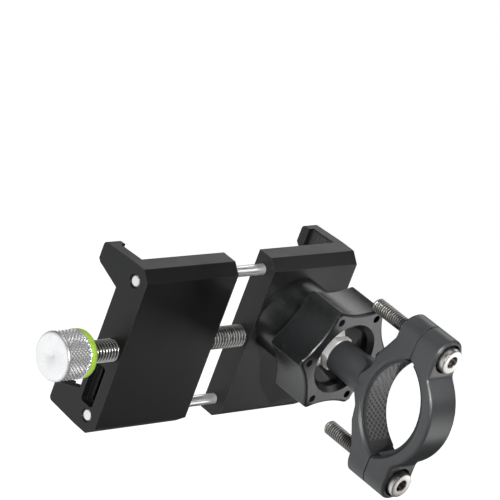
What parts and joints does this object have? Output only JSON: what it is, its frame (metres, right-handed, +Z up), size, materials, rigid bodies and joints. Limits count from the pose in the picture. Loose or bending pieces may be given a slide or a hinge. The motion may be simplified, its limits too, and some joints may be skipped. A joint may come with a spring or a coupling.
{
  "type": "phone handlebar mount",
  "caption": "Handlebar phone mount: screw-driven sliding jaws with claws on guide rods, held by a ball joint with a lobed locking nut and a two-bolt split bar clamp.",
  "frame": {"origin": "middle of the handlebar eye, on the split between the clamp halves", "axes": "+X along the handlebar and the jaws' travel, +Y from the clamp towards the phone, +Z up along the phone's length"},
  "size_m": [0.0987, 0.0779, 0.0565],
  "materials": {
    "black_anodised": "satin anodised",
    "dark_grey_anodised": "satin anodised",
    "stainless": "machined",
    "polished_steel": "polished",
    "spring_steel": "phosphated",
    "bright_aluminium": "bright, knurled",
    "lime_rubber": "smooth",
    "black_rubber": "matt, knurled on the bar pads",
    "black_nylon": "matt"
  },
  "bodies": {
    "clamp": {"clamp_base": "dark_grey_anodised", "base_bar_pad": "black_rubber", "ball_stud": "polished_steel"},
    "cap": {"clamp_cap": "dark_grey_anodised", "cap_bar_pad": "black_rubber"},
    "upper_bolt": {"clamp_bolt_upper": "stainless"},
    "lower_bolt": {"clamp_bolt_lower": "stainless"},
    "ball_cup": {"seat_cup": "black_nylon"},
    "preload": {"preload_o_ring": "black_rubber"},
    "holder": {"fixed_jaw": "black_anodised", "ball_socket": "black_anodised", "socket_screws": "stainless", "fixed_face_pad": "black_rubber", "fixed_claw_pads": "black_rubber", "guide_rod_upper": "polished_steel", "guide_rod_lower": "polished_steel"},
    "front_seat": {"seat_ring": "black_nylon"},
    "nut": {"collar_nut": "black_anodised"},
    "jaw": {"moving_jaw": "black_anodised", "moving_face_pad": "black_rubber", "moving_claw_pads": "black_rubber"},
    "screw": {"clamp_screw": "stainless", "screw_e_clip": "spring_steel", "knob": "bright_aluminium", "knob_o_ring": "lime_rubber"}
  },
  "joints": [
    {"name": "cap_opening", "type": "slide", "parent": "clamp", "child": "cap", "axis": [0, -1, 0], "range_m": [0, 0.0118]},
    {"name": "upper_bolt_turn", "type": "hinge", "parent": "cap", "child": "upper_bolt", "pos_m": [0, 0, 0.0188], "axis": [0, 1, 0], "range_deg": [-6200, 60]},
    {"name": "lower_bolt_turn", "type": "hinge", "parent": "cap", "child": "lower_bolt", "pos_m": [0, 0, -0.0188], "axis": [0, 1, 0], "range_deg": [-6200, 60]},
    {"name": "ball_swivel", "type": "hinge", "parent": "clamp", "child": "ball_cup", "pos_m": [0, 0.0342, 0], "axis": [0, 1, 0], "continuous": true},
    {"name": "ball_tilt", "type": "hinge", "parent": "ball_cup", "child": "preload", "pos_m": [0, 0.0342, 0], "axis": [1, 0, 0], "range_deg": [-15, 15]},
    {"name": "holder_spin", "type": "hinge", "parent": "preload", "child": "holder", "pos_m": [0, 0.0342, 0], "axis": [0, 1, 0], "continuous": true},
    {"name": "nut_advance", "type": "slide", "parent": "holder", "child": "front_seat", "axis": [0, -1, 0], "range_m": [0, 0.001]},
    {"name": "nut_turn", "type": "hinge", "parent": "front_seat", "child": "nut", "pos_m": [0, 0.0231, 0], "axis": [0, 1, 0], "range_deg": [-245, 5]},
    {"name": "jaw_slide", "type": "slide", "parent": "holder", "child": "jaw", "axis": [1, 0, 0], "range_m": [-0.01, 0.012]},
    {"name": "screw_turn", "type": "hinge", "parent": "holder", "child": "screw", "pos_m": [-0.0784, 0.04985, -0.00795], "axis": [1, 0, 0], "range_deg": [-4330, 3610]}
  ],
  "couplings": [
    {"joint": "upper_bolt_turn", "follows": "cap_opening", "rad_per_m": -8976},
    {"joint": "lower_bolt_turn", "follows": "cap_opening", "rad_per_m": -8976},
    {"joint": "nut_turn", "follows": "nut_advance", "rad_per_m": -4188.8},
    {"joint": "screw_turn", "follows": "jaw_slide", "rad_per_m": -6283.2}
  ]
}
